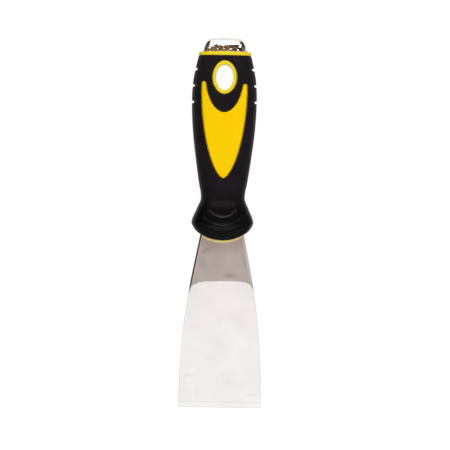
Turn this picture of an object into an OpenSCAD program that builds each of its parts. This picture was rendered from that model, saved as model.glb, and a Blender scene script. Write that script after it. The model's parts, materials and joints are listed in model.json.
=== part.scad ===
// Flexible putty knife: taper-ground blade with a full tang, yellow core, black soft grip, steel strike cap.
// The modules measure y from the blade's working edge towards the cap, z from the middle of the blade sheet.
// in_frame() then lays the knife on the back of its handle, with the origin on the floor under its middle.

/* [Overall] */
// Length from the working edge to the strike face
overall_l = 224; // [215:1:240]
// Greatest depth of the handle, front to back
handle_d = 24; // [23:0.5:26]

/* [Blade] */
// Width of the blade at its working edge
blade_w = 50; // [40:1:60]
// Thickness of the sheet where it is not ground
blade_t = 1.2; // [1:0.1:1.4]
// Thickness at the end of the taper grind, above the edge bevel
ground_t = 0.5; // [0.4:0.05:0.7]
// Thickness at the working edge itself
edge_t = 0.3; // [0.2:0.05:0.4]
// Distance from the working edge to the line where the grind runs out
grind_l = 75.5; // [60:0.5:85]
// Length of the bevel at the working edge
bevel_l = 3.5; // [3:0.5:6]
// Angle of each straight flank to the centre line
flank_angle = 11.2; // [9:0.1:13]
// Width of the blade where it enters the handle
root_w = 26.6; // [25:0.2:27.4]

/* [Tang] */
// Width of the tang through the neck
tang_w = 17; // [14:0.5:18]
// Width of the tang around the hanging hole
tang_top_w = 24; // [23:0.5:25]
// Radius of each hole that the core locks through
lock_r = 2.8; // [2:0.1:3.2]
// Width of the tenon that is staked in the strike cap
tenon_w = 10; // [8:0.5:12]

/* [Handle] */
// Width of the grip at its neck
neck_w = 26.6; // [26:0.1:28]
// Width of the grip across the flare beside the blade
flare_w = 37.5; // [36:0.1:38]
// Width of the grip at its upper swell
swell_w = 39.4; // [38.6:0.1:40]
// Width of the collar under the strike cap
collar_w = 31.8; // [31:0.2:32.4]
// Height of the collar
collar_h = 2.4; // [2:0.1:3.2]
// Thickness of the soft grip over the core
grip_t = 2; // [1.6:0.1:2.4]
// How square the cross-sections are, where 2 is an ellipse
squareness = 2.8; // [2.4:0.1:3.2]
// Radius of the grip's lower end, seen from the front
nose_r = 25.4; // [25:0.1:26.5]

/* [Details] */
// Height of the strike cap above the collar
cap_h = 8.7; // [8:0.1:9]
// Wall of the strike cap
cap_wall = 1; // [0.8:0.1:1.2]
// Width of the hanging hole
hang_w = 11; // [10:0.2:11.6]
// Height of the hanging hole
hang_h = 15.8; // [15:0.2:16.4]
// Width of the yellow rim around the hanging hole
hang_rim = 2.1; // [1.8:0.1:2.4]
// Distance from the strike face to the middle of the hanging hole
hang_at = 24.3; // [24:0.1:25]
// Width of the yellow panel
panel_w = 28.1; // [27:0.1:28.6]
// How far the panel lies below the skin of the grip
panel_recess = 0.35; // [0.2:0.05:0.6]
// Number of finger notches on each side
notch_count = 3; // [1:1:3]
// Distance between finger notches
notch_pitch = 9.9; // [9:0.1:11]
// Depth of a finger notch
notch_depth = 1.2; // [0.8:0.1:1.4]
// Depth of the curved thumb grooves
groove_depth = 0.9; // [0.6:0.1:1.2]

/* [Hidden] */

nose_y = overall_l - 122.4;
collar_y = overall_l - cap_h - collar_h;
ledge_y = overall_l - cap_h;
hang_y = overall_l - hang_at;
nose_centre_y = nose_y + nose_r;

// Skin of the grip: distance above the nose, half width, half depth
half_d = handle_d / 2;
skin = [
    [-4, 12.5, half_d - 6],
    [0, 14.6, half_d - 4],
    [7, flare_w / 2 - 1, half_d - 1.1],
    [11.2, flare_w / 2, half_d],
    [18.9, 15.75, half_d - 1.1],
    [25.2, neck_w / 2, half_d - 2.3],
    [36, 14.9, half_d - 2],
    [48, 16.65, half_d - 1.3],
    [66.3, 18.85, half_d - 0.25],
    [84, swell_w / 2, half_d],
    [95.4, 19.15, half_d - 0.25],
    [103.9, 17.7, half_d - 0.8],
    [collar_y - nose_y, collar_w / 2, half_d - 1.5]
];
skin_last = len(skin) - 1;

// Points around each section of the skin, and the greatest distance between two sections
section_n = 36;
ring_step = 4.2;

// Yellow rim below the grip: radius and centre
rim_r = 24;
rim_centre_y = nose_y + 22.7;

// Panel: distance from its point to its full width, and the powers of its outline
panel_l = 51.7;
panel_y = nose_y + 37.1;
panel_power_y = 1.75;
panel_power_x = 1.7;
horn_l = 6.3;
horn_r = 1.2;
bay_w = 22.6;
bay_h = 41.8;

// Thumb grooves: their common centre, then radius and half angle of each
groove_y = nose_y + 24.2;
grooves = [[9.4, 54], [14.5, 46], [19.9, 40]];
groove_r = 0.6;
groove_step = 12;
notch_y = nose_y + 103.2;
notch_r = 0.8;
notch_reach = 2.4;

// Length of the bend between each straight flank and the working edge's corner, from where they would meet
flank_tangent = 40;

// Tang: rise above the nose of each change of width
shoulder_rise = 6;
tang_rise = 11;
tang_wide_rise = 76;
tang_wide_end = 110;
lock_rises = [26, 44, 62];
hang_clear_r = 6.9;
hang_clear_l = 5.4;

// Cap: half width and half depth at the ledge, then how its sides and its faces lean inwards: by a straight
// taper per millimetre, and by a curve that takes so much off at the crown and grows with so high a power
cap_half_w = 13.95;
cap_half_d = 9.9;
cap_sides = [0.1, 2.9, 2];
cap_faces = [0.2, 1.3, 5];

// Rounding of the crown, squareness, the steps below the rounding and in it, the play on the spigot,
// and how far the tang's end stays inside the cap
cap_round = 1.8;
cap_square = 6;
cap_steps = 4;
spigot_gap = 0.05;
shoulder_in = 7.2;

// Greater than the handle's width and depth, for cuts that go right through
past = 50;

function signed_power(v, p) = sign(v) * pow(abs(v), p);

// Closed oval outline between an ellipse (power 2) and a rectangle
function oval(half_x, half_y, power, n = section_n) = [
    for (i = [0:n - 1])
        let (a = 360 * i / n)
        [half_x * signed_power(cos(a), 2 / power), half_y * signed_power(sin(a), 2 / power)]
];

// Index of the stretch of the skin that holds a height above the nose
function skin_at(y) = max([for (i = [0:skin_last - 1]) if (i == 0 || y >= skin[i][0]) i]);

// Slope of column k of the skin at point i
function skin_slope(i, k) =
    let (a = max(i - 1, 0), b = min(i + 1, skin_last))
    (skin[b][k] - skin[a][k]) / (skin[b][0] - skin[a][0]);

// Smooth curve through column k of the skin at a height above the nose
function skin_value(y, k) =
    let (
        i = skin_at(y),
        step = skin[i + 1][0] - skin[i][0],
        t = (y - skin[i][0]) / step,
        rise = skin[i + 1][k] - skin[i][k],
        m0 = skin_slope(i, k) * step,
        m1 = skin_slope(i + 1, k) * step
    )
    skin[i][k] + t * (m0 + t * (3 * rise - 2 * m0 - m1 + t * (m0 + m1 - 2 * rise)));

// A closed ring of points at height y, from a flat outline
function ring(outline, y) = [for (p = outline) [p[0], y, p[1]]];

// Closed solid through rings that all have the same number of points
module loft(rings) {
    n = len(rings[0]);
    last = len(rings) - 1;
    points = [for (r = rings) for (p = r) p];
    sides = [
        for (k = [0:last - 1])
            for (i = [0:n - 1])
                let (a = k * n + i, b = k * n + (i + 1) % n)
                each [[a, b + n, a + n], [a, b, b + n]]
    ];
    bottom = [for (i = [n - 1:-1:0]) i];
    top = [for (i = [0:n - 1]) last * n + i];
    polyhedron(points, concat(sides, [bottom, top]));
}

// The handle's skin, moved inwards by inset
module envelope(inset = 0) {
    y0 = skin[0][0];
    count = ceil((skin[skin_last][0] - y0) / ring_step);
    step = (skin[skin_last][0] - y0) / count;
    loft([
        for (k = [0:count])
            let (y = y0 + k * step)
            ring(oval(skin_value(y, 1) - inset, skin_value(y, 2) - inset, squareness), nose_y + y)
    ]);
}

// Everything above a round lower end, seen from the front
module above_nose(r, centre_y) {
    translate([0, centre_y, -past / 2])
        cylinder(h = past, r = r, $fn = 96);
    translate([-past / 2, centre_y, -past / 2])
        cube([past, overall_l, past]);
}

// A flat outline drawn through the whole handle
module through() {
    translate([0, 0, -past / 2])
        linear_extrude(past)
            children();
}

// A flat outline cut into the skin to an even depth
module skin_cut(depth) {
    difference() {
        through()
            children();
        envelope(depth);
    }
}

// Outline of the yellow panel: a shield that runs up into two horns beside the hanging hole
module panel_outline() {
    steps = 14;
    flank = [
        for (i = [0:steps])
            let (t = 1 - pow(1 - i / steps, 1.6))
            [panel_w / 2 * pow(1 - pow(1 - t, panel_power_y), 1 / panel_power_x), panel_y + panel_l * t]
    ];
    top_y = panel_y + panel_l + horn_l;
    right = concat(flank, [[panel_w / 2, top_y]]);
    left = [for (i = [len(right) - 1:-1:1]) [-right[i][0], right[i][1]]];
    offset(r = horn_r, $fn = 24)
        offset(delta = -horn_r)
            difference() {
                polygon(concat(right, left));
                translate([0, hang_y])
                    polygon(oval(bay_w / 2, bay_h / 2, 2));
            }
}

module hang_outline(rim = 0) {
    translate([0, hang_y])
        polygon(oval(hang_w / 2 + rim, hang_h / 2 + rim, 2));
}

// One thumb groove: round dots joined along an arc
module groove_outline(radius, half_angle) {
    steps = ceil(2 * half_angle / groove_step);
    for (i = [0:steps - 1])
        hull()
            for (a = [i, i + 1])
                translate([0, groove_y])
                    rotate(-90 - half_angle + 2 * half_angle * a / steps)
                        translate([radius, 0])
                            circle(groove_r, $fn = 10);
}

module notch_outlines() {
    for (side = [-1, 1], k = [0:notch_count - 1]) {
        y = notch_y - k * notch_pitch;
        edge = skin_value(y - nose_y, 1);
        hull()
            for (x = [edge - notch_reach + notch_r, edge + 2 * notch_r])
                translate([side * x, y])
                    circle(notch_r, $fn = 12);
    }
}

// How far the strike cap has drawn in at a height above the ledge
function cap_lean(lean, rise) =
    let (
        in_round = max(0, rise - cap_h + cap_round) / cap_round,
        tuck = cap_round * (1 - sqrt(max(0, 1 - in_round * in_round)))
    )
    lean[0] * rise + lean[1] * pow(rise / cap_h, lean[2]) + tuck;

// Ring of the strike cap, moved inwards by inset, at a height above the ledge
function cap_ring(rise, inset) =
    let (
        half_x = cap_half_w - cap_lean(cap_sides, rise),
        half_z = cap_half_d - cap_lean(cap_faces, rise)
    )
    oval(half_x - inset, half_z - inset, cap_square);

// Solid inside the cap's outer surface, or inside an inset copy of it that ends lower
module cap_solid(inset, top) {
    below = [for (i = [0:cap_steps - 1]) (cap_h - cap_round) * i / cap_steps];
    rounded = [
        for (i = [0:cap_steps])
            cap_h - cap_round * (1 - sin(90 * i / cap_steps))
    ];
    loft([
        for (rise = concat(below, rounded))
            ring(cap_ring(rise, inset), ledge_y + rise * top / cap_h)
    ]);
}

// Right side of the blade and tang, from the working edge to the tenon
function blade_side() =
    let (
        half = blade_w / 2,
        root = root_w / 2,
        root_y = nose_y + 3,
        corner_y = root_y - (half - root) / tan(flank_angle),
        tangent = min(flank_tangent, corner_y - 3),
        arc_r = tangent / tan(flank_angle / 2),
        arc_n = 16,
        tang = tang_w / 2,
        wide = tang_top_w / 2,
        tenon = tenon_w / 2,
        shoulder = [root - shoulder_rise * tan(flank_angle), root_y + shoulder_rise]
    )
    concat(
        [[half, 0]],
        [
            for (i = [0:arc_n])
                let (a = flank_angle * i / arc_n)
                [half - arc_r * (1 - cos(a)), corner_y - tangent + arc_r * sin(a)]
        ],
        [
            shoulder,
            [tang, nose_y + tang_rise + 2],
            [tang, nose_y + tang_wide_rise],
            [wide, nose_y + tang_wide_rise + 8],
            [wide, nose_y + tang_wide_end - 4],
            [cap_half_w - shoulder_in, nose_y + tang_wide_end],
            [cap_half_w - shoulder_in, overall_l - cap_wall],
            [tenon, overall_l - cap_wall],
            [tenon, overall_l]
        ]
    );

module blade_sheet() {
    right = blade_side();
    left = [for (i = [len(right) - 1:-1:0]) [-right[i][0], right[i][1]]];
    translate([0, 0, -blade_t / 2])
        linear_extrude(blade_t)
            polygon(concat(right, left));
}

// The sheet seen from its edge: bevel, taper grind, then full thickness
module blade_side_view() {
    upper = [[0, edge_t], [bevel_l, ground_t], [grind_l, blade_t], [overall_l, blade_t]];
    lower = [for (i = [len(upper) - 1:-1:0]) [upper[i][0], -upper[i][1]]];
    half = [for (p = concat(upper, lower)) [p[0], p[1] / 2]];
    translate([-blade_w / 2 - 1, 0, 0])
        rotate([90, 0, 90])
            linear_extrude(blade_w + 2)
                polygon(half);
}

module tang_holes() {
    for (rise = lock_rises)
        translate([0, nose_y + rise, -blade_t])
            cylinder(h = 2 * blade_t, r = lock_r, $fn = 48);
    for (side = [-1, 1])
        translate([0, hang_y + side * hang_clear_l / 2, -blade_t])
            cylinder(h = 2 * blade_t, r = hang_clear_r, $fn = 64);
    translate([-hang_clear_r, hang_y - hang_clear_l / 2, -blade_t])
        cube([2 * hang_clear_r, hang_clear_l, 2 * blade_t]);
}

module blade_solid() {
    difference() {
        intersection() {
            blade_sheet();
            blade_side_view();
        }
        tang_holes();
    }
}

// What the soft grip is moulded over: the core's body down to its rim, the collar and the spigot for the cap
module core_body() {
    intersection() {
        envelope(grip_t);
        above_nose(rim_r, rim_centre_y);
    }
    loft([
        for (rise = [0, collar_h])
            ring(oval(collar_w / 2, half_d - 1.25, squareness), collar_y + rise)
    ]);
    cap_solid(cap_wall + spigot_gap, cap_h - cap_wall);
}

// Where the core stands up through the windows of the grip
module core_raised() {
    intersection() {
        envelope(panel_recess);
        through()
            panel_outline();
    }
    intersection() {
        envelope(panel_recess / 2);
        through()
            hang_outline(hang_rim);
    }
}

module in_frame() {
    translate([0, -overall_l / 2, half_d])
        children();
}

module blade() {
    color("silver")
        in_frame()
            blade_solid();
}

module handle_core() {
    color("gold")
        in_frame()
            difference() {
                union() {
                    core_body();
                    core_raised();
                }
                blade_solid();
                through()
                    hang_outline();
            }
}

module grip_overmould() {
    color([0.10, 0.09, 0.10])
        in_frame()
            difference() {
                intersection() {
                    envelope();
                    above_nose(nose_r, nose_centre_y);
                }
                core_body();
                blade_solid();
                through() {
                    panel_outline();
                    hang_outline(hang_rim);
                }
                skin_cut(notch_depth)
                    notch_outlines();
                skin_cut(groove_depth)
                    for (g = grooves)
                        groove_outline(g[0], g[1]);
            }
}

module strike_cap() {
    color("gainsboro")
        in_frame()
            difference() {
                cap_solid(0, cap_h);
                cap_solid(cap_wall, cap_h - cap_wall);
                translate([-tenon_w / 2, overall_l - 2 * cap_wall, -blade_t / 2])
                    cube([tenon_w, 3 * cap_wall, blade_t]);
            }
}

blade();
handle_core();
grip_overmould();
strike_cap();
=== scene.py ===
"""Flexible putty knife: detailed meshes, materials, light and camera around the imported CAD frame.

The fields below measure in millimetres from the middle of the blade's working edge: x across the blade,
y towards the strike cap and z out of the front face. to_row() turns them into the row frame's metres.
A field is negative inside its solid and grows by about 1 for each millimetre away from its surface.
"""

import json
import math

import bpy
import numpy as np
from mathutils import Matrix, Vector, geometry


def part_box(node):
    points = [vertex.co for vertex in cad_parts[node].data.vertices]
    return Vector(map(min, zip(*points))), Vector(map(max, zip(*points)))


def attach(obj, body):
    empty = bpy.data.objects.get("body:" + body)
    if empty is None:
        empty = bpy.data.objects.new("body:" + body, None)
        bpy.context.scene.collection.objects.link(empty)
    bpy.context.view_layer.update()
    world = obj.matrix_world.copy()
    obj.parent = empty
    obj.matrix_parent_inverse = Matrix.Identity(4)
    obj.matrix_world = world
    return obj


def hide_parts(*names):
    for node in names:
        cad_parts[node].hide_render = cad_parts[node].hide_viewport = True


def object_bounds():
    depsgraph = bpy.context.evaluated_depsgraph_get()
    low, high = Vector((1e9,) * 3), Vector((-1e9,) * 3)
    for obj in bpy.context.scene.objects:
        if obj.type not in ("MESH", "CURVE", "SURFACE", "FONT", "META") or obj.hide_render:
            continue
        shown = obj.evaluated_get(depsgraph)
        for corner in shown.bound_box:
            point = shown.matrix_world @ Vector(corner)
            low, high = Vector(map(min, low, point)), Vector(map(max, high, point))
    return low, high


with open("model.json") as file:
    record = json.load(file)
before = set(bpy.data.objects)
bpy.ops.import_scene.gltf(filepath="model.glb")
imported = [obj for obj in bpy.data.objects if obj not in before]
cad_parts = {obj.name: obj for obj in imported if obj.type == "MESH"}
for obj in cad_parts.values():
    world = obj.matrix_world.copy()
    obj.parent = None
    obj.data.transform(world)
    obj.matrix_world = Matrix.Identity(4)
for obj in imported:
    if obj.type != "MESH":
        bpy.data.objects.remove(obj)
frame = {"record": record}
CAD_LO, CAD_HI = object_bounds()

MM = 0.001


# ---- Places read from the frame ----

def cad_box(node):
    """Lowest and highest corner of a CAD node, in millimetres from the middle of the working edge."""
    lo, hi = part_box(node)
    return (np.array(lo) - ORIGIN) / MM, (np.array(hi) - ORIGIN) / MM


def mount_place(name):
    """Place of one of the record's mounts, in the same millimetres."""
    mount = next(m for m in frame["record"]["mounts"] if m["name"] == name)
    return (np.array(mount["pos_m"]) - ORIGIN) / MM


BLADE_LO, BLADE_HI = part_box("blade")
ORIGIN = np.array([0, BLADE_LO.y, (BLADE_LO.z + BLADE_HI.z) / 2])

BLADE_BOX = cad_box("blade")
GRIP_BOX = cad_box("grip_overmould")
CORE_BOX = cad_box("handle_core")
CAP_BOX = cad_box("strike_cap")

OVERALL_L = BLADE_BOX[1][1]
HALF_BLADE = BLADE_BOX[1][0]
BLADE_T = 2 * BLADE_BOX[1][2]
NOSE_Y = GRIP_BOX[0][1]
COLLAR_Y = GRIP_BOX[1][1]
LEDGE_Y = CAP_BOX[0][1]
HALF_D = GRIP_BOX[1][2]
HALF_SWELL = GRIP_BOX[1][0]
HANG_Y = mount_place("hanging_hole")[1]


def to_row(points):
    """Points in millimetres from the working edge, in the row frame's metres."""
    return np.asarray(points) * MM + ORIGIN


# ---- Sizes of the details, in millimetres ----

# Yellow collar under the strike cap
COLLAR_HALF_W = 16.0
COLLAR_HALF_D = HALF_D - 1.25
COLLAR_ROUND = 0.9

# Skin of the grip: distance above the nose, half width, half depth
SKIN = np.array([
    [-4, 12.5, HALF_D - 6],
    [0, 14.6, HALF_D - 4],
    [7, 17.75, HALF_D - 1.1],
    [11.2, 18.75, HALF_D - 0.2],
    [18.9, 15.75, HALF_D - 1.1],
    [25.2, 13.3, HALF_D - 2.3],
    [36, 14.9, HALF_D - 2],
    [48, 16.65, HALF_D - 1.3],
    [66.3, 18.85, HALF_D - 0.25],
    [84, HALF_SWELL, HALF_D],
    [95.4, 19.15, HALF_D - 0.25],
    [103.9, 17.7, HALF_D - 0.8],
    [COLLAR_Y - NOSE_Y, COLLAR_HALF_W, HALF_D - 1.5],
])
SQUARENESS = 2.8
GRIP_T = 2.0
TOP_ROUND = 0.5

# The grip's lower end: its radius seen from the front, how far it lies below the CAD solid's, the radius of
# its edge, and by how much its wall thickens over how long a stretch
NOSE_R = 25.4
NOSE_DROP = 0.3
NOSE_ROUND = 1.6
NOSE_WALL = 1.4
NOSE_WALL_L = 5.0

# Thin yellow rim below the grip
RIM_R = 22.4
RIM_DROP = 1.6
RIM_ROUND = 0.8

# Yellow panel, its horns, the bay between them (half width, half height, power), the seam around it, and the
# rounded edges of the grip's windows and of what stands up through them
PANEL_W = 27.6
PANEL_L = 51.7
PANEL_Y = NOSE_Y + 37.1
PANEL_POWERS = (1.7, 1.75)
PANEL_RECESS = 0.35
HORN_TOP = 58.0
HORN_SLANT = 0.055
HORN_R = 1.2
BAY = (11.4, 20.9, 1.93)
SEAM = 0.5
WINDOW_LIP = 0.45
PANEL_LIP = 0.35

# Hanging hole and the yellow ring around it: half width and half height of each
HOLE = (5.15, 7.75)
HOLE_DRAFT = 0.035
HOLE_LIP = 0.8
RING = (7.4, 10.3)
RING_RECESS = 0.15

# Thumb grooves: their common centre, then radius, half angle in degrees and depth of each
GROOVE_CENTRE_Y = NOSE_Y + 24.2
GROOVES = ((9.4, 54, 0.42), (14.5, 46, 0.78), (19.9, 40, 0.85))

# Widths of a groove's upper side, and of its lower side in the middle; then how quickly the lower side
# narrows towards the groove's ends, and the share of the difference at which that stops
GROOVE_SIDES = (1.2, 1.6)
GROOVE_NARROWING = 1.6
GROOVE_NARROWEST = -0.6

# Finger notches: the height of each, then their end radius, their reach and depth, and their rounded edge
NOTCH_YS = tuple(NOSE_Y + 103.2 - 9.9 * k for k in range(3))
NOTCH_R = 0.8
NOTCH_REACH = 2.4
NOTCH_DEPTH = 1.2
NOTCH_LIP = 0.3

# How the strike cap draws in, across and in depth: a taper per millimetre, then the size and power of a curve
CAP_TAPERS = (0.1, 0.2)
CAP_CURVES = ((2.9, 2), (1.3, 5))
CAP_SQUARE = 5.4
CAP_ROUND = 1.8
CAP_EDGE = 0.15

# The crown falls by CAP_DOME at these distances from its middle
CAP_DOME = 0.5
CAP_DOME_AT = (10, 7)
CAP_WALL = 1.0
SPIGOT_GAP = 0.05

# Tenon of the tang, and its slot in the crown, which is cut from this far above the ledge
TENON_W = 10.0
TENON_GAP = 0.08
SLOT_RISE = 4
SHOULDER_IN = 7.2

# Blade: bevel and taper grind, its flank, the line where the grind runs out, and the broken edges above that
GROUND_T = 0.5
EDGE_T = 0.3
BEVEL_L = 3.5
FLANK_ANGLE = math.radians(11.2)
FLANK_TANGENT = 40.0
ROOT_HALF_W = 13.3
ROOT_Y = NOSE_Y + 3
GRIND_Y = 76.6
GRIND_HALF_W = 18.9
GRIND_DROP = 4.4
GRIND_BLENDS = (3.6, 2.1)
CHAMFER_W = 1.0
CHAMFER_DEPTH = 0.42
CHAMFER_END_Y = 68.5
CHAMFER_FADE = 8.0
CHAMFER_INSIDE = 3

# Tang inside the handle: where its narrow and its wide stretch lie above the nose, how long the slants below
# and above the wide one are, its lock holes, and its opening around the hanging hole
TANG_HALF_W = 8.5
TANG_RISE = 13
SHOULDER_RISE = 6
TANG_TOP_HALF_W = 12.0
TANG_TOP_RISES = (84, 106)
TANG_SLANTS = (8, 4)
LOCK_RISES = (26, 44, 62)
LOCK_R = 2.8
CLEAR_R = 6.9
CLEAR_L = 5.4


# ---- Fields ----

# Greater than any distance on the knife
FAR = 1e9

SKIN_SLOPES = np.gradient(SKIN, axis=0)
SKIN_SLOPES[:, 1:] /= SKIN_SLOPES[:, :1]


def skin_size(rise, column):
    """Half width (1) or half depth (2) of the grip at a rise above its nose: a smooth curve through SKIN."""
    rise = np.clip(rise, SKIN[0, 0], SKIN[-1, 0])
    i = np.clip(np.searchsorted(SKIN[:, 0], rise, side="right") - 1, 0, len(SKIN) - 2)
    step = SKIN[i + 1, 0] - SKIN[i, 0]
    t = (rise - SKIN[i, 0]) / step
    up = SKIN[i + 1, column] - SKIN[i, column]
    m0 = SKIN_SLOPES[i, column] * step
    m1 = SKIN_SLOPES[i + 1, column] * step
    return SKIN[i, column] + t * (m0 + t * (3 * up - 2 * m0 - m1 + t * (m0 + m1 - 2 * up)))


def oval(x, z, half_x, half_z, power=2.0):
    """Distance to a closed oval between an ellipse (power 2) and a rectangle."""
    u, v = np.abs(x) / half_x, np.abs(z) / half_z
    g = np.maximum((u**power + v**power) ** (1 / power), 1e-4)
    slope = g ** (1 - power) * np.hypot(u ** (power - 1) / half_x, v ** (power - 1) / half_z)
    return (g - 1) / np.maximum(slope, 1e-3)


def both(a, b, r=0.0):
    """What two solids share, with its new edge rounded to radius r."""
    if not r:
        return np.maximum(a, b)
    return np.minimum(np.maximum(a, b), -r) + np.hypot(np.maximum(a + r, 0), np.maximum(b + r, 0))


def skin(x, y, z):
    rise = y - NOSE_Y
    return oval(x, z, skin_size(rise, 1), skin_size(rise, 2), SQUARENESS)


def round_end(x, y, radius, lowest):
    """Everything above a round lower end, seen from the front."""
    return np.hypot(x, np.minimum(y - lowest - radius, 0)) - radius


def panel(x, y):
    """Outline of the yellow panel: a shield that runs up into two horns beside the hanging hole."""
    across, along = PANEL_POWERS
    u = np.abs(x) / (PANEL_W / 2)
    t = np.maximum(1 - (y - PANEL_Y) / PANEL_L, 0)
    slope = np.hypot(across * u ** (across - 1) / (PANEL_W / 2), along * t ** (along - 1) / PANEL_L)
    shield = (u**across + t**along - 1) / np.maximum(slope, 1e-2)
    bay = oval(x, y - HANG_Y, *BAY)
    return both(np.maximum(shield, -bay), y - PANEL_Y - HORN_TOP + HORN_SLANT * x, HORN_R)


def ring(x, y):
    return oval(x, y - HANG_Y, *RING)


def hole(x, y, z):
    """The hanging hole, which opens a little towards the back."""
    return oval(x, y - HANG_Y, *HOLE) - HOLE_DRAFT * (HALF_D - z)


def groove_depth(x, y):
    """Depth of the curved thumb grooves, which slope more gently below, most of all in the middle."""
    radius = np.hypot(x, y - GROOVE_CENTRE_Y)
    angle = np.abs(np.arctan2(x, GROOVE_CENTRE_Y - y))
    steep, gentle = GROOVE_SIDES
    total = 0
    for groove_r, half_angle, depth in GROOVES:
        end = math.radians(half_angle)
        share = np.maximum(1 - (GROOVE_NARROWING * angle / end) ** 2, GROOVE_NARROWEST)
        side = steep + (gentle - steep) * share * (radius > groove_r)
        along = groove_r * np.maximum(angle - end, 0)
        off = np.hypot((radius - groove_r) / side, along / steep)
        total = total + depth * np.clip(1 - off**2, 0, 1) ** 2
    return total


def notches(x, y, skin_d):
    """The finger notches in both sides, each as deep as the skin allows."""
    cut = FAR
    for notch_y in NOTCH_YS:
        inner = skin_size(notch_y - NOSE_Y, 1) - NOTCH_REACH + NOTCH_R
        slot = np.hypot(np.maximum(inner - np.abs(x), 0), y - notch_y) - NOTCH_R
        cut = np.minimum(cut, slot)
    return np.maximum(cut, -skin_d - NOTCH_DEPTH)


def body(x, y, skin_d):
    """What the grip is moulded over. Its lower end shows as a thin rim below the grip's thicker nose."""
    from_nose = round_end(x, y, NOSE_R, NOSE_Y - NOSE_DROP)
    wall = GRIP_T + NOSE_WALL * np.clip(1 + from_nose / NOSE_WALL_L, 0, 1)
    return np.maximum(both(skin_d + wall, round_end(x, y, RIM_R, NOSE_Y - RIM_DROP), RIM_ROUND), y - COLLAR_Y)


def grip_field(x, y, z):
    skin_d = skin(x, y, z)
    shell = both(skin_d + groove_depth(x, y), round_end(x, y, NOSE_R, NOSE_Y - NOSE_DROP), NOSE_ROUND)
    shell = both(shell, y - COLLAR_Y, TOP_ROUND)
    shell = both(shell, -notches(x, y, skin_d), NOTCH_LIP)
    window = np.minimum(panel(x, y), ring(x, y)) - SEAM / 2
    return np.maximum(both(shell, -window, WINDOW_LIP), -body(x, y, skin_d))


def cap_shape(x, y, z, inset):
    """Everything inside the strike cap's outer surface, or inside an inset copy of it."""
    height = OVERALL_L - LEDGE_Y
    rise = np.clip(y - LEDGE_Y, 0, height)
    half_x, half_z = (
        CAP_BOX[1][axis] - inset - taper * rise - curve * (rise / height) ** power
        for axis, taper, (curve, power) in zip((0, 2), CAP_TAPERS, CAP_CURVES)
    )
    side = oval(x, z, half_x, half_z, CAP_SQUARE)
    at_x, at_z = CAP_DOME_AT
    dome = CAP_DOME * ((x / at_x) ** 2 + (z / at_z) ** 2)
    return both(side, y - OVERALL_L + inset + dome, CAP_ROUND - inset / 2)


def cap_field(x, y, z):
    cup = both(cap_shape(x, y, z, 0), LEDGE_Y - y, CAP_EDGE)
    slot = both(np.abs(x) - TENON_W / 2 - TENON_GAP, np.abs(z) - BLADE_T / 2 - TENON_GAP)
    slot = both(slot, LEDGE_Y + SLOT_RISE - y)
    return both(both(cup, -cap_shape(x, y, z, CAP_WALL)), -slot, CAP_EDGE)


def tang(x, y):
    """Outline of the blade and its tang, less the holes. The right side is closed well past the middle."""
    points = np.array([(-HALF_BLADE, 0), *blade_side(), (-HALF_BLADE, OVERALL_L)])
    side = polygon_distance(np.abs(x), y, points)
    clear = np.hypot(x, np.maximum(np.abs(y - HANG_Y) - CLEAR_L / 2, 0)) - CLEAR_R
    for lock in LOCK_RISES:
        clear = np.minimum(clear, np.hypot(x, y - NOSE_Y - lock) - LOCK_R)
    return np.maximum(side, -clear)


def polygon_distance(x, y, points):
    """Distance to a closed polygon."""
    x, y = np.broadcast_arrays(x, y)
    nearest = np.full(x.shape, FAR)
    inside = np.zeros(x.shape, bool)
    for (ax, ay), (bx, by) in zip(points, np.roll(points, -1, axis=0)):
        ex, ey = bx - ax, by - ay
        t = np.clip(((x - ax) * ex + (y - ay) * ey) / (ex * ex + ey * ey), 0, 1)
        nearest = np.minimum(nearest, np.hypot(x - ax - t * ex, y - ay - t * ey))
        if ey:
            inside ^= ((ay > y) != (by > y)) & (x < ax + (y - ay) * ex / ey)
    return np.where(inside, -nearest, nearest)


def core_field(x, y, z):
    skin_d = skin(x, y, z)
    solid = body(x, y, skin_d)
    collar = oval(x, z, COLLAR_HALF_W, COLLAR_HALF_D, SQUARENESS)
    collar = both(collar, np.maximum(y - LEDGE_Y, COLLAR_Y - y), COLLAR_ROUND)
    solid = np.minimum(solid, collar)
    spigot = np.maximum(cap_shape(x, y, z, CAP_WALL + SPIGOT_GAP), LEDGE_Y - 1 - y)
    solid = np.minimum(solid, spigot)
    for recess, outline in ((PANEL_RECESS, panel), (RING_RECESS, ring)):
        raised = both(skin_d + recess, outline(x, y) + SEAM / 2, PANEL_LIP)
        solid = np.minimum(solid, raised)
    solid = both(solid, -hole(x, y, z), HOLE_LIP)
    pocket = np.maximum(np.abs(z) - BLADE_T / 2, tang(x, y))
    return np.maximum(solid, -pocket)


# ---- The blade's outline and thickness ----

def blade_flank():
    """Right side of the blade, from the working edge to the start of the tang."""
    corner_y = ROOT_Y - (HALF_BLADE - ROOT_HALF_W) / math.tan(FLANK_ANGLE)
    arc_r = FLANK_TANGENT / math.tan(FLANK_ANGLE / 2)
    arc = [
        (HALF_BLADE - arc_r * (1 - math.cos(a)), corner_y - FLANK_TANGENT + arc_r * math.sin(a))
        for a in np.linspace(0, FLANK_ANGLE, 25)
    ]
    straight = [
        (ROOT_HALF_W + (ROOT_Y - y) * math.tan(FLANK_ANGLE), y)
        for y in np.linspace(arc[-1][1], ROOT_Y + SHOULDER_RISE, 14)[1:]
    ]
    return [(HALF_BLADE, 0), *arc, *straight, (TANG_HALF_W, NOSE_Y + TANG_RISE)]


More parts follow.
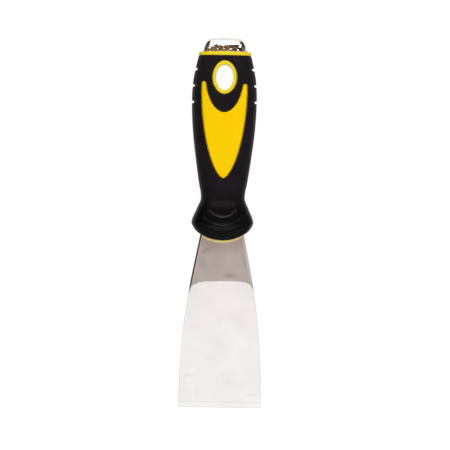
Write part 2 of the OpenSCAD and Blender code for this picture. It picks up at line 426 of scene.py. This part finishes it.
def blade_side():
    """Right side of the blade and tang, from the working edge to the tenon."""
    inner = CAP_BOX[1][0] - SHOULDER_IN
    wide_from, wide_to = TANG_TOP_RISES
    return [
        *blade_flank(),
        (TANG_HALF_W, NOSE_Y + wide_from - TANG_SLANTS[0]),
        (TANG_TOP_HALF_W, NOSE_Y + wide_from),
        (TANG_TOP_HALF_W, NOSE_Y + wide_to),
        (inner, NOSE_Y + wide_to + TANG_SLANTS[1]),
        (inner, OVERALL_L - CAP_WALL),
        (TENON_W / 2, OVERALL_L - CAP_WALL),
        (TENON_W / 2, OVERALL_L),
    ]


# ---- Meshes ----

# Most rounds of part_sheets(), and the share of a cell by which it moves a point past the surface
PARTING_ROUNDS = 6
PARTING_SHARE = 1 / 50


def part_sheets(grid, cell):
    """Where the signs around a grid face alternate, changes the one nearest zero, so that no sheets meet."""
    for _ in range(PARTING_ROUNDS):
        crossed = 0
        for axis in range(3):
            rolled = np.moveaxis(grid, axis, 0)
            inside = rolled < 0
            a, b = inside[:, :-1, :-1], inside[:, 1:, :-1]
            c, d = inside[:, 1:, 1:], inside[:, :-1, 1:]
            for k, i, j in np.argwhere((a == c) & (b == d) & (a != b)):
                corners = ((k, i + p, j + q) for p in (0, 1) for q in (0, 1))
                nearest = min(corners, key=lambda at: abs(rolled[at]))
                rolled[nearest] = -math.copysign(cell * PARTING_SHARE, rolled[nearest])
                crossed += 1
        if not crossed:
            return


def surface(field, lo, hi, cell):
    """Closed quad mesh of the field's zero surface, one point for each grid cell that the surface crosses."""
    lo = np.asarray(lo) - 2 * cell
    counts = np.ceil((np.asarray(hi) + 2 * cell - lo) / cell).astype(int) + 1
    xs, ys, zs = (lo[k] + cell * np.arange(counts[k]) for k in range(3))
    grid = field(xs[:, None, None], ys[None, :, None], zs[None, None, :])
    part_sheets(grid, cell)
    cells = counts - 1
    size = int(np.prod(cells))
    number = np.zeros(size)
    total = np.zeros((size, 3))
    quads = []
    for axis in range(3):
        low = [slice(None)] * 3
        high = [slice(None)] * 3
        low[axis], high[axis] = slice(0, -1), slice(1, None)
        a, b = grid[tuple(low)], grid[tuple(high)]
        edge = np.argwhere((a < 0) != (b < 0))
        va, vb = a[tuple(edge.T)], b[tuple(edge.T)]
        place = lo + cell * edge
        place[:, axis] += cell * va / (va - vb)
        u, v = (axis + 1) % 3, (axis + 2) % 3
        around = []
        for du, dv in ((0, 0), (1, 0), (1, 1), (0, 1)):
            index = edge.copy()
            index[:, u] -= du
            index[:, v] -= dv
            flat = np.ravel_multi_index(tuple(index.T), cells)
            number += np.bincount(flat, minlength=size)
            for k in range(3):
                total[:, k] += np.bincount(flat, place[:, k], size)
            around.append(flat)
        around = np.stack(around, 1)
        around[va >= 0] = around[va >= 0][:, ::-1]
        quads.append(around)
    used = np.flatnonzero(number)
    renumber = np.zeros(size, int)
    renumber[used] = np.arange(len(used))
    return total[used] / number[used, None], renumber[np.concatenate(quads)]


def gradient(field, points, step=0.02):
    slopes = []
    for axis in range(3):
        off = np.zeros(3)
        off[axis] = step
        slopes.append((field(*(points + off).T) - field(*(points - off).T)) / (2 * step))
    return np.stack(slopes, 1)


def settle(field, points, rounds, limit=0.3):
    """Points moved onto the field's zero surface, each by at most the limit a round."""
    for _ in range(rounds):
        slope = gradient(field, points)
        move = -field(*points.T)[:, None] * slope / np.maximum((slope**2).sum(1), 0.05)[:, None]
        length = np.linalg.norm(move, axis=1)[:, None]
        points = points + move * np.minimum(1, limit / np.maximum(length, 1e-9))
    return points


def relax(field, points, quads):
    """Points slid along the surface towards the middle of their neighbours."""
    total = np.zeros_like(points)
    number = np.zeros(len(points))
    for k in range(4):
        for other in (quads[:, (k + 1) % 4], quads[:, (k + 3) % 4]):
            number += np.bincount(quads[:, k], minlength=len(points))
            for axis in range(3):
                total[:, axis] += np.bincount(quads[:, k], points[other, axis], len(points))
    normal = gradient(field, points)
    normal /= np.maximum(np.linalg.norm(normal, axis=1), 1e-9)[:, None]
    move = total / number[:, None] - points
    return points + move - normal * (move * normal).sum(1)[:, None]


def new_piece(name, points, faces, node, material, normals=None):
    """A mesh piece that stands for one CAD node and moves with the frame's only body."""
    mesh = bpy.data.meshes.new(name)
    mesh.from_pydata(to_row(points).tolist(), [], [list(map(int, f)) for f in faces])
    mesh.validate()
    mesh.shade_smooth()
    if normals is not None:
        mesh.normals_split_custom_set_from_vertices(normals.tolist())
    piece = bpy.data.objects.new(name, mesh)
    bpy.context.scene.collection.objects.link(piece)
    piece.data.materials.append(material)
    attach(piece, "root")
    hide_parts(node)
    return piece


def set_values(piece, name, values):
    """One number for each point of a piece, for its material to read."""
    piece.data.attributes.new(name, "FLOAT", "POINT").data.foreach_set("value", values)


def moulded(name, field, box, cell, node, material):
    """Makes a piece whose surface follows a field, and stores for each point how far it faces outwards."""
    points, quads = surface(field, box[0], box[1], cell)
    points = settle(field, points, 2)
    points = settle(field, relax(field, points, quads), 3)
    normals = gradient(field, points)
    normals /= np.maximum(np.linalg.norm(normals, axis=1), 1e-9)[:, None]
    piece = new_piece(name, points, quads, node, material, normals)
    set_values(piece, "outwards", np.hypot(normals[:, 0], normals[:, 1]))


def half_width(y):
    """Half width of the blade where it shows, and of its first stretch inside the handle."""
    side = np.array(blade_flank())
    return np.interp(y, side[:, 1], side[:, 0])


def grind_line(x):
    """Height of the line where the taper grind runs out, which drops towards both flanks."""
    blend = np.where(np.asarray(x) < 0, *GRIND_BLENDS)
    return GRIND_Y - GRIND_DROP * np.exp(np.minimum(np.abs(x) - GRIND_HALF_W, 0) / blend)


def half_thickness(x, y):
    """Half the blade's thickness: bevel, taper grind, full sheet, and the broken edges of the full sheet."""
    line = grind_line(x)
    taper = GROUND_T + (BLADE_T - GROUND_T) * (y - BEVEL_L) / (line - BEVEL_L)
    bevel = EDGE_T + (GROUND_T - EDGE_T) * y / BEVEL_L
    thick = np.where(y < BEVEL_L, bevel, np.minimum(taper, BLADE_T))
    outwards = np.clip(1 - (half_width(y) - np.abs(x)) / CHAMFER_W, 0, 1)
    fade = np.clip((y - CHAMFER_END_Y) / CHAMFER_FADE, 0, 1) * (y < ROOT_Y + CHAMFER_INSIDE)
    return thick / 2 - CHAMFER_DEPTH * outwards * fade


def edge_distance(x, y):
    """Distance from the nearest flank or from the working edge."""
    return np.minimum(half_width(y) - np.abs(x), y)


# The blade's mesh: points around each hole, the step between rows, and the points across a row, along the
# grind line and along the working edge
HOLE_POINTS = 48
ROW_STEP = 1.5
ROW_POINTS = 25
LINE_POINTS = 41
EDGE_POINTS = 33

# Distances from the flanks: of the points that follow them, and of the ends of a row and of the grind line
FLANK_OFFSETS = (CHAMFER_W / 2, CHAMFER_W, 1.2)
ROW_INSET = 1.8
LINE_INSET = 1.5

# Points along the tang, and how far every inner point stays from the outline
TANG_COLUMNS = (-6.5, 0, 6.5)
TANG_STEP = 3
LEAST_INSET = 0.2


def blade_outlines():
    """Flat outlines of the blade and of its holes."""
    right = blade_side()
    outlines = [np.array(right + [(-x, y) for x, y in reversed(right)])]
    turn = np.linspace(0, 2 * np.pi, HOLE_POINTS, endpoint=False)
    for rise in LOCK_RISES:
        outlines.append(np.stack([LOCK_R * np.cos(turn), NOSE_Y + rise + LOCK_R * np.sin(turn)], 1))
    stretch = np.sign(np.sin(turn + 1e-6)) * CLEAR_L / 2
    outlines.append(np.stack([CLEAR_R * np.cos(turn), HANG_Y + stretch + CLEAR_R * np.sin(turn)], 1))
    return outlines


def blade_inner_points():
    """Flat points inside the blade's outline, and those along its working edge."""
    inner = []
    rows = np.concatenate([np.linspace(0, BEVEL_L, 4), np.arange(4 * ROW_STEP, ROOT_Y + 2, ROW_STEP)])
    for y in rows:
        half = half_width(y)
        for offset in FLANK_OFFSETS:
            inner += [(half - offset, y), (offset - half, y)]
        inner += [(x, y) for x in np.linspace(ROW_INSET - half, half - ROW_INSET, ROW_POINTS)]
    xs = np.linspace(-HALF_BLADE, HALF_BLADE, LINE_POINTS)
    inner += [(x, y) for x, y in zip(xs, grind_line(xs)) if abs(x) < half_width(y) - LINE_INSET]
    inner += [(x, y) for y in np.arange(ROOT_Y + 2, OVERALL_L - 2, TANG_STEP) for x in TANG_COLUMNS]
    inner = np.array(inner)
    inner = inner[tang(*inner.T) < -LEAST_INSET]
    edge = [(x, 0) for x in np.linspace(-HALF_BLADE, HALF_BLADE, EDGE_POINTS)[1:-1]]
    return np.concatenate([inner, edge])


def blade_plan():
    """Flat triangles of the blade seen from the front."""
    outlines = blade_outlines()
    points = np.concatenate(outlines + [blade_inner_points()])
    edges, start = [], 0
    for outline in outlines:
        n = len(outline)
        edges += [(start + i, start + (i + 1) % n) for i in range(n)]
        start += n
    flat, _, faces, *_ = geometry.delaunay_2d_cdt(points.tolist(), edges, [], 0, 1e-4)
    flat = np.array([tuple(p) for p in flat])
    faces = np.array(faces)
    middle = flat[faces].mean(1)
    return flat, faces[tang(*middle.T) < 0]


def blade_mesh():
    """Closed mesh of the blade: front, back, and a wall along every open edge."""
    flat, faces = blade_plan()
    half = half_thickness(*flat.T)[:, None]
    n = len(flat)
    points = np.concatenate([np.hstack([flat, half]), np.hstack([flat, -half])])
    used = {}
    for a, b, c in faces:
        for edge in ((a, b), (b, c), (c, a)):
            used[edge] = True
    walls = [(a, a + n, b + n, b) for a, b in used if (b, a) not in used]
    keep = sorted({i for f in faces for i in f})
    renumber = {old: new for new, old in enumerate(keep + [i + n for i in keep])}
    loops = [tuple(f) for f in faces] + [tuple(f[::-1] + n) for f in faces] + walls
    return points[list(renumber)], [tuple(renumber[i] for i in f) for f in loops]


# ---- Materials ----

class Nodes:
    """Short way to fill a node tree."""

    def __init__(self, tree):
        self.tree = tree
        tree.nodes.clear()

    def add(self, kind, inputs=None, **settings):
        node = self.tree.nodes.new("ShaderNode" + kind)
        for name, value in settings.items():
            setattr(node, name, value)
        for name, value in (inputs or {}).items():
            if isinstance(value, bpy.types.NodeSocket):
                self.tree.links.new(value, node.inputs[name])
            else:
                node.inputs[name].default_value = value
        return node

    def math(self, operation, *values):
        return self.add("Math", dict(enumerate(values)), operation=operation).outputs[0]

    def noise(self, vector, scale, detail=2.0, rough=0.5, distort=0.0):
        inputs = {"Vector": vector, "Scale": scale, "Detail": detail, "Roughness": rough}
        inputs["Distortion"] = distort
        return self.add("TexNoise", inputs).outputs["Fac"]

    def span(self, value, low, high, to_low=0.0, to_high=1.0, kind="LINEAR"):
        inputs = {"Value": value, "From Min": low, "From Max": high, "To Min": to_low, "To Max": to_high}
        return self.add("MapRange", inputs, interpolation_type=kind).outputs[0]

    def mix(self, factor, a, b, blend="MIX"):
        node = self.add("Mix", data_type="RGBA", blend_type=blend)
        for socket, value in ((node.inputs["Factor"], factor), (node.inputs[6], a), (node.inputs[7], b)):
            if isinstance(value, bpy.types.NodeSocket):
                self.tree.links.new(value, socket)
            else:
                socket.default_value = value if isinstance(value, float) else (*value, 1)
        return node.outputs[2]

    def bump(self, height, distance, strength=1.0):
        inputs = {"Height": height, "Distance": distance, "Strength": strength}
        return self.add("Bump", inputs).outputs[0]

    def row_x(self, place):
        """Millimetres to the right of the blade's middle, from object coordinates."""
        return self.math("DIVIDE", self.add("SeparateXYZ", {0: place}).outputs[0], MM)

    def row_y(self, place):
        """Millimetres above the working edge, from object coordinates."""
        y = self.add("SeparateXYZ", {0: place}).outputs[1]
        return self.math("DIVIDE", self.math("SUBTRACT", y, float(ORIGIN[1])), MM)

    def spot(self, place, x, y, half_x, half_y, angle=0.0):
        """A soft oval spot on the blade: its middle, half sizes and turn, in millimetres and degrees."""
        at = to_row([x, y, 0]).tolist()
        inputs = {"Vector": place, "Location": at, "Rotation": (0, 0, math.radians(angle))}
        inputs["Scale"] = (half_x * MM, half_y * MM, 1)
        inside = self.add("Mapping", inputs, vector_type="TEXTURE").outputs[0]
        return self.add("TexGradient", {0: inside}, gradient_type="QUADRATIC_SPHERE").outputs["Fac"]

    def stretched(self, vector, x, y, z):
        return self.add("Mapping", {"Vector": vector, "Scale": (x, y, z)}).outputs[0]


def material(name):
    """A new material with its nodes, its object coordinates and a function that ends it."""
    mat = bpy.data.materials.new(name)
    mat.use_nodes = True
    nodes = Nodes(mat.node_tree)
    place = nodes.add("TexCoord").outputs["Object"]

    def end(**inputs):
        renamed = {key.replace("_", " "): value for key, value in inputs.items()}
        shader = nodes.add("BsdfPrincipled", renamed)
        out = nodes.add("OutputMaterial")
        mat.node_tree.links.new(shader.outputs[0], out.inputs["Surface"])
        return mat

    return nodes, place, end


def soft_grip():
    """Black thermoplastic rubber with a fine spark-eroded texture, handled smooth above the nose, where its
    base colour is also darkened as painted shade.
    """
    n, place, end = material("soft_grip")
    grain = n.noise(place, 2600.0, 3.0, 0.6)
    patches = n.noise(place, 90.0, 3.0)
    colour = n.mix(n.span(patches, 0.35, 0.65), (0.0068, 0.0048, 0.0066), (0.0092, 0.0068, 0.0090))
    flare_gloss_and_shade = n.span(n.row_y(place), NOSE_Y + 30, NOSE_Y + 18)
    shine = n.math("MULTIPLY", flare_gloss_and_shade, n.span(n.row_y(place), NOSE_Y + 3, NOSE_Y + 8, -0.15, 0.17))
    return end(
        # Painted shade: near the nose the rubber's base colour is darkened.
        Base_Color=n.mix(flare_gloss_and_shade, colour, (0.0016, 0.0014, 0.0016)),
        Roughness=n.math("SUBTRACT", n.span(patches, 0.3, 0.7, 0.46, 0.56), shine),
        Specular_IOR_Level=0.08,
        Normal=n.bump(grain, 0.00003, 0.6),
    )


def core_plastic():
    """Yellow polypropylene with painted highlights: paler at the collar, the ring and the thin rim."""
    n, place, end = material("core_plastic")
    y = n.row_y(place)
    x = n.math("ABSOLUTE", n.row_x(place))
    # Painted highlight: the collar and the ring are mixed towards a paler yellow.
    ring_highlight_mask = n.math("MULTIPLY", n.span(x, 10.5, 9.0), n.span(y, HANG_Y - 12, HANG_Y - 11))
    pale = n.math("MAXIMUM", n.span(y, HANG_Y + 4, HANG_Y + 8), ring_highlight_mask)
    grain = n.noise(place, 1800.0, 2.0, 0.6)
    flow = n.noise(n.stretched(place, 1, 0.35, 1), 120.0, 3.0, 0.55, 0.4)
    colour = n.mix(n.span(flow, 0.3, 0.7), (0.82, 0.53, 0.0001), (0.86, 0.565, 0.0002))
    colour = n.mix(pale, colour, (0.75, 0.595, 0.025))
    # Painted highlight: the thin rim below the grip is mixed towards a pale, greyer yellow.
    colour = n.mix(n.span(y, NOSE_Y + 8, NOSE_Y + 5), colour, (0.69, 0.59, 0.20))
    return end(
        Base_Color=colour,
        Roughness=n.span(flow, 0.3, 0.7, 0.36, 0.44),
        Specular_IOR_Level=0.06,
        Normal=n.bump(grain, 0.00002, 0.4),
    )


# Darker spots on the blade: middle x and y, half sizes, turn in degrees; then the strength of each. Those on
# the satin sheet are painted shade.
SHEET_SPOTS = (
    ((-9, 95.5, 10, 3.0, 26), 1.0),
    ((-12, 88, 5, 9, 20), 0.45),
    ((5.5, 80, 11, 3.6, -4), 0.8),
    ((13.5, 90, 3, 10, 10), 0.45),
)
GROUND_SPOTS = (
    ((-19, 19.5, 6, 1.6, 4), 0.26),
    ((19, 7.5, 7, 1.4, 3), 0.24),
)


def blade_steel():
    """Satin sheet above the arched grind line and cross-ground steel below it; the sheet carries painted
    shade and painted highlights, and the ground steel a few darker spots.
    """
    n, place, end = material("blade_steel")
    x, y = n.row_x(place), n.row_y(place)
    from_edge = n.add("Attribute", attribute_name="from_edge").outputs["Fac"]
    past = n.math("MINIMUM", n.math("SUBTRACT", n.math("ABSOLUTE", x), GRIND_HALF_W), 0.0)
    blend = n.span(x, -1.0, 1.0, *GRIND_BLENDS)
    drop = n.math("MULTIPLY", n.math("EXPONENT", n.math("DIVIDE", past, blend)), GRIND_DROP)
    above = n.math("ADD", n.math("SUBTRACT", y, GRIND_Y), drop)
    sheet = n.span(above, -0.2, 0.2, kind="SMOOTHSTEP")
    clouds = n.noise(place, 75.0, 4.0, 0.55, 0.6)
    satin = n.mix(n.span(clouds, 0.3, 0.7), (0.742, 0.710, 0.708), (0.855, 0.825, 0.822))
    # Painted shade: darker spots on the satin sheet.
    for spot, depth in SHEET_SPOTS:
        dark_spot = n.math("MULTIPLY", n.spot(place, *spot), n.span(clouds, 0.25, 0.6, 0.3, depth))
        satin = n.mix(dark_spot, satin, (0.47, 0.44, 0.425))
    # Painted shade: the sheet darkens towards the handle.
    satin = n.mix(n.span(y, 90.0, 104.0, 0.0, 0.7), satin, (0.62, 0.58, 0.56))
    ground = n.mix(n.span(clouds, 0.25, 0.75), (0.935, 0.948, 0.978), (0.962, 0.978, 1.0))
    ground = n.mix(n.span(y, 45.0, GRIND_Y, 0.0, 0.6), ground, (0.90, 0.885, 0.89))
    for spot, depth in GROUND_SPOTS:
        dark_spot = n.math("MULTIPLY", n.spot(place, *spot), n.span(clouds, 0.3, 0.6, 0.2, depth))
        ground = n.mix(dark_spot, ground, (0.55, 0.56, 0.60))
    bevel_line = n.span(n.math("ABSOLUTE", n.math("SUBTRACT", y, BEVEL_L)), 0.1, 0.4, 0.35, 0.0)
    edge_line = n.span(from_edge, 0.25, 0.5, 0.5, 0.0)
    ground = n.mix(n.math("MAXIMUM", bevel_line, edge_line), ground, (0.66, 0.67, 0.70))
    broken = n.span(from_edge, CHAMFER_W * 0.8, CHAMFER_W * 1.1, 1.0, 0.0)
    flank = n.math("MULTIPLY", broken, n.span(y, CHAMFER_END_Y, CHAMFER_END_Y + 4.5))
    # Painted highlight: a paler line beside each broken flank.
    beside = n.math("MULTIPLY", n.span(from_edge, CHAMFER_W * 1.3, CHAMFER_W * 2.2, 0.5, 0.0), sheet)
    colour = n.mix(beside, n.mix(sheet, ground, satin), (0.95, 0.92, 0.91))
    # Painted reflection: along the broken flanks the colour is dark on the left and pale on the right.
    colour = n.mix(flank, colour, n.mix(n.span(x, -1.0, 1.0), (0.26, 0.235, 0.225), (0.88, 0.85, 0.84)))
    lines = n.noise(n.stretched(place, 12, 2500, 12), 1.0, 4.0, 0.6)
    depth = n.math("MULTIPLY", lines, n.span(sheet, 0.0, 1.0, 1.0, 0.25))
    rough = n.math("ADD", n.span(sheet, 0.0, 1.0, 0.58, 0.33), n.span(clouds, 0.3, 0.7, -0.02, 0.03))
    return end(
        Base_Color=colour,
        Metallic=1.0,
        Roughness=rough,
        Normal=n.bump(depth, 0.000004, 0.5),
    )


def cap_plating():
    """Bright plating over a drawn cup that isn't quite even, with painted shade on the sides that face
    outwards.
    """
    n, place, end = material("cap_plating")
    dents = n.noise(place, 420.0, 2.5, 0.5, 0.3)
    haze = n.noise(place, 700.0, 3.0)
    outwards = n.add("Attribute", attribute_name="outwards").outputs["Fac"]
    colour = n.mix(n.span(haze, 0.35, 0.7), (0.93, 0.91, 0.89), (0.82, 0.77, 0.71))
    return end(
        # Painted shade: where the surface faces sideways its colour is darker.
        Base_Color=n.mix(n.span(outwards, 0.74, 0.86), colour, (0.75, 0.72, 0.69)),
        Metallic=1.0,
        Roughness=n.span(haze, 0.3, 0.75, 0.03, 0.08),
        Normal=n.bump(dents, 0.0004, 0.36),
    )


# ---- Stage: floor, light and camera ----

BACKDROP = (0.46, 0.46, 0.47)
FAR_FLOOR = (0.36, 0.36, 0.37)

# The floor's own light, and the distances in metres where it starts to dim and where it has its far tone
FLOOR_GLOW = 0.93
FLOOR_FADE = (0.17, 0.9)


def make_floor():
    """Plain pale table that gives light around the object, as a light table does, and dims further away."""
    bpy.ops.mesh.primitive_plane_add(size=8, location=(0, 0, CAD_LO.z))
    floor = bpy.context.object
    floor.name = "floor"
    n, place, end = material("floor_white")
    tone = n.mix(n.noise(place, 3.0), (0.11, 0.11, 0.11), (0.13, 0.13, 0.13))
    away = n.add("VectorMath", {0: place}, operation="LENGTH").outputs["Value"]
    glow = n.mix(n.span(away, *FLOOR_FADE, kind="SMOOTHSTEP"), (1.0, 1.0, 1.0), FAR_FLOOR)
    floor.data.materials.append(
        end(
            Base_Color=tone,
            Roughness=0.9,
            Specular_IOR_Level=0.1,
            Emission_Color=glow,
            Emission_Strength=FLOOR_GLOW,
        )
    )


# Angle from straight up of what the front of the tapered strike cap mirrors
FAR_TILT = 2 * math.atan(CAP_TAPERS[1])

# Degrees from straight up where the ceiling starts and where it is whole, then degrees above the horizon
# where the backdrop ends and where the walls are whole
CEILING_ANGLES = (52, 36)
BACKDROP_ANGLES = (4, 9)

# Tones of the uneven ceiling, from its darkest patches to its brightest: place on the noise, colour
CEILING_TONES = (
    (0.36, (0.02, 0.012, 0.008, 1)),
    (0.45, (0.30, 0.21, 0.155, 1)),
    (0.54, (0.62, 0.54, 0.51, 1)),
    (0.64, (1.1, 1.0, 0.95, 1)),
)


def make_world():
    """A grey backdrop, pale walls, brightest beyond the cap, and a warm, uneven ceiling.

    The ceiling is darkest along the beam that the cap mirrors.
    """
    world = bpy.data.worlds.new("studio")
    bpy.context.scene.world = world
    world.use_nodes = True
    n = Nodes(world.node_tree)
    way = n.add("TexCoord").outputs["Generated"]
    x, y, z = n.add("SeparateXYZ", {0: way}).outputs
    ceiling = n.span(z, *(math.cos(math.radians(a)) for a in CEILING_ANGLES), kind="SMOOTHSTEP")
    blobs = n.noise(way, 15.0, 4.0, 0.65, 0.8)
    over = n.math("ABSOLUTE", n.math("SUBTRACT", y, math.sin(FAR_TILT)))
    beam = n.span(over, 0.22, 0.15, kind="SMOOTHSTEP")
    depth = n.span(x, 0.02, 0.2, 0.07, 0.16)
    ramp = n.add("ValToRGB", {"Fac": n.math("SUBTRACT", blobs, n.math("MULTIPLY", beam, depth))})
    stops = ramp.color_ramp.elements
    stops[0].position, stops[0].color = CEILING_TONES[0]
    stops[1].position, stops[1].color = CEILING_TONES[-1]
    for position, colour in CEILING_TONES[1:-1]:
        stops.new(position).color = colour
    tilt = n.span(z, *(math.sin(math.radians(a)) for a in BACKDROP_ANGLES), kind="SMOOTHSTEP")
    beyond = n.span(y, 0.6, 0.75, kind="SMOOTHSTEP")
    walls = n.mix(tilt, BACKDROP, n.mix(beyond, (0.68, 0.68, 0.68), (1.1, 1.04, 0.95)))
    warmth = n.mix(n.span(x, -0.05, 0.15), (1.0, 0.74, 0.46), (0.96, 0.90, 0.84))
    tint = n.mix(beam, (1.0, 1.0, 1.0), warmth)
    ceiling_colour = n.mix(1.0, ramp.outputs[0], tint, "MULTIPLY")
    background = n.add("Background", {"Color": n.mix(ceiling, walls, ceiling_colour)})
    out = n.add("OutputWorld")
    world.node_tree.links.new(background.outputs[0], out.inputs[0])


# Dark cards: how high they hang; then name, x and y of the middle, length and height, all in metres,
# and turn in degrees
FLAG_LIFT = 0.03
FLAGS = (
    ("flag_left", -0.6, 0.1, 1.0, 0.75, 90),
    ("flag_right", 0.6, -0.1, 0.7, 0.2, 90),
    ("flag_left_far", -0.62, 0.85, 0.75, 0.95, 40),
    ("flag_right_far", 0.62, 0.85, 0.75, 0.95, -40),
)


def make_flags():
    """Dark cards that give the bright metal its edges: tall ones, and a low one on the right of the blade."""
    for name, x, y, length, height, turn in FLAGS:
        bpy.ops.mesh.primitive_plane_add(size=1, location=(x, y, CAD_LO.z + FLAG_LIFT + height / 2))
        flag = bpy.context.object
        flag.name = name
        flag.scale = (length, height, 1)
        flag.rotation_euler = (math.radians(90), 0, math.radians(turn))
        flag.visible_camera = False
        n, place, end = material(name)
        tone = n.mix(n.noise(place, 4.0), (0.02, 0.018, 0.016), (0.04, 0.035, 0.03))
        flag.data.materials.append(end(Base_Color=tone, Roughness=0.9))


# Soft boxes: their size in metres, then name, y, z and power of each
SOFT_BOX = (0.8, 0.5)
SOFT_BOXES = (
    ("box_far", 1.0, 0.95, 13.9),
    ("box_near", -1.1, 0.9, 8.5),
)


def make_soft_boxes():
    """A strong soft box beyond the strike cap and a weaker one beyond the blade, both aimed at the knife."""
    for name, y, z, energy in SOFT_BOXES:
        data = bpy.data.lights.new(name, "AREA")
        data.shape = "RECTANGLE"
        data.size, data.size_y = SOFT_BOX
        data.energy = energy
        lamp = bpy.data.objects.new(name, data)
        bpy.context.scene.collection.objects.link(lamp)
        lamp.location = (0, y, z)
        lamp.rotation_euler = (-math.atan2(y, z), 0, 0)


# Camera: lens and sensor in millimetres, width and middle of the view at the blade in metres, turn in degrees
LENS = 200
SENSOR = 36
VIEW_W = 0.2727
VIEW_CENTRE = (0.0016, -0.0013)
ROLL = 0.93


def make_camera():
    """A long lens straight above the knife, turned a little so that the knife leans in the picture."""
    data = bpy.data.cameras.new("camera")
    data.lens, data.sensor_width = LENS, SENSOR
    data.clip_end = 100
    camera = bpy.data.objects.new("camera", data)
    bpy.context.scene.collection.objects.link(camera)
    camera.location = (*VIEW_CENTRE, ORIGIN[2] + LENS * VIEW_W / SENSOR)
    camera.rotation_euler = (0, 0, math.radians(ROLL))
    bpy.context.scene.camera = camera


make_camera()
make_floor()
make_world()
make_flags()
make_soft_boxes()
bpy.context.scene.view_settings.view_transform = "Standard"

blade_points, blade_faces = blade_mesh()
blade = new_piece("blade_flexible", blade_points, blade_faces, "blade", blade_steel())
blade.data.set_sharp_from_angle(angle=math.radians(15))
set_values(blade, "from_edge", edge_distance(*blade_points[:, :2].T))

# The cells, in millimetres, keep each moulded piece under 200,000 triangles
moulded("grip_soft_shell", grip_field, GRIP_BOX, 0.47, "grip_overmould", soft_grip())
moulded("core_moulding", core_field, CORE_BOX, 0.48, "handle_core", core_plastic())
moulded("cap_plated", cap_field, CAP_BOX, 0.3, "strike_cap", cap_plating())
